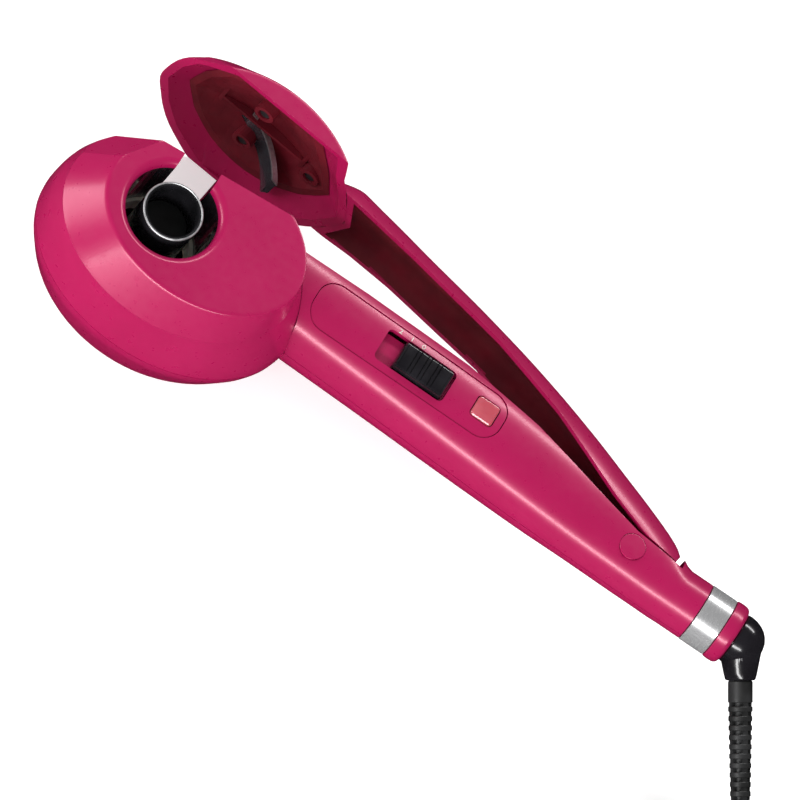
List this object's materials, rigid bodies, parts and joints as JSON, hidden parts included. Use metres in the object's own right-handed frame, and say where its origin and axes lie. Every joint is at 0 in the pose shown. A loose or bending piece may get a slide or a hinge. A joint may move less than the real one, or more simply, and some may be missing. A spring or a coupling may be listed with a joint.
{
  "type": "automatic hair curler",
  "caption": "Hinged hair-curling wand with a slotted curl chamber in a rounded head, a lid on a sprung upper arm, a slide switch and a swivel lead.",
  "frame": {"origin": "middle of the footprint of the tool without its free lead, on the surface that the flat back of its head lies on", "axes": "+X from the head to the lead, +Y from the lower arm to the upper arm, +Z along the curling barrel to its free end"},
  "size_m": [0.3779, 0.2518, 0.074],
  "materials": {
    "casing_pink": "glossy pearl magenta moulding",
    "liner_maroon": "dark red moulding, satin",
    "black_gloss": "black moulding, semi-gloss",
    "black_matte": "black moulding, fine texture",
    "ceramic_black": "smooth dark ceramic coating",
    "steel": "bright steel",
    "chrome": "polished, finely turned",
    "nylon": "natural nylon",
    "brass": "turned brass",
    "lens_red": "clear red window",
    "board_green": "circuit board",
    "lead_rubber": "black lead sheath, satin"
  },
  "bodies": {
    "lower_body": {"head_front_cover": "casing_pink", "head_back_cover": "casing_pink", "casing_screw_1": "steel", "casing_screw_2": "steel", "casing_screw_3": "steel", "start_dome": "casing_pink", "start_switch": "black_matte", "chamber_liner_front": "black_gloss", "chamber_liner_back": "black_gloss", "barrel_flange": "steel", "barrel": "ceramic_black", "barrel_rim": "steel", "heater_core": "ceramic_black", "thermal_fuse": "steel", "idler_axle_1": "steel", "idler_axle_2": "steel", "motor": "steel", "motor_bracket": "steel", "handle_front_shell": "casing_pink", "handle_back_shell": "casing_pink", "hinge_pin": "steel", "hinge_cap_front": "casing_pink", "hinge_cap_back": "casing_pink", "hinge_spring": "steel", "control_panel": "casing_pink", "slide_switch_body": "black_matte", "indicator_lens": "lens_red", "indicator_lamp": "lens_red", "control_board": "board_green", "buzzer": "black_matte", "chrome_band": "chrome", "end_collar": "casing_pink", "swivel_socket": "black_matte", "cord_tube": "lead_rubber", "cord_coil": "lead_rubber", "plug_body": "black_matte", "plug_blade_1": "brass", "plug_blade_2": "brass"},
    "upper_body": {"lid_shell": "casing_pink", "upper_arm_shell": "casing_pink", "lid_liner": "liner_maroon", "hair_guide": "black_gloss", "guide_spring": "steel", "lid_screw_1": "black_matte", "lid_screw_2": "black_matte", "lid_screw_3": "black_matte"},
    "switch_body": {"slide_switch_cap": "black_matte"},
    "rotor_body": {"rotor_gear": "nylon", "rotor_hook": "steel"},
    "idler_body_1": {"idler_gear_1": "nylon"},
    "idler_body_2": {"idler_gear_2": "nylon"},
    "pinion_body": {"motor_pinion": "brass", "motor_shaft": "steel"},
    "swivel_body": {"swivel_elbow": "black_matte", "strain_relief": "black_matte"}
  },
  "joints": [
    {"name": "arm_hinge", "type": "hinge", "parent": "lower_body", "child": "upper_body", "pos_m": [0.0774, -0.0079, 0.037], "axis": [0, 0, 1], "range_deg": [0, 10.5], "stiffness_Nm_per_rad": 0.5, "springref_deg": -22.92},
    {"name": "switch_slide", "type": "slide", "parent": "lower_body", "child": "switch_body", "axis": [-1, 0, 0], "range_m": [0, 0.006]},
    {"name": "rotor_spin", "type": "hinge", "parent": "lower_body", "child": "rotor_body", "pos_m": [-0.1299, -0.0123, 0.037], "axis": [0, 0, 1], "continuous": true},
    {"name": "idler_spin_1", "type": "hinge", "parent": "lower_body", "child": "idler_body_1", "pos_m": [-0.103, -0.0146, 0.037], "axis": [0, 0, 1], "continuous": true},
    {"name": "idler_spin_2", "type": "hinge", "parent": "lower_body", "child": "idler_body_2", "pos_m": [-0.11644, -0.03571, 0.037], "axis": [0, 0, 1], "continuous": true},
    {"name": "pinion_spin", "type": "hinge", "parent": "lower_body", "child": "pinion_body", "pos_m": [-0.10675, -0.02705, 0.037], "axis": [0, 0, 1], "continuous": true},
    {"name": "cord_swivel", "type": "hinge", "parent": "lower_body", "child": "swivel_body", "pos_m": [0.1301, -0.009, 0.037], "axis": [1, 0, 0], "range_deg": [-30, 8]}
  ],
  "couplings": [
    {"joint": "idler_spin_1", "follows": "rotor_spin", "ratio": -2.375},
    {"joint": "idler_spin_2", "follows": "rotor_spin", "ratio": -2.375},
    {"joint": "pinion_spin", "follows": "rotor_spin", "ratio": 3.8}
  ]
}
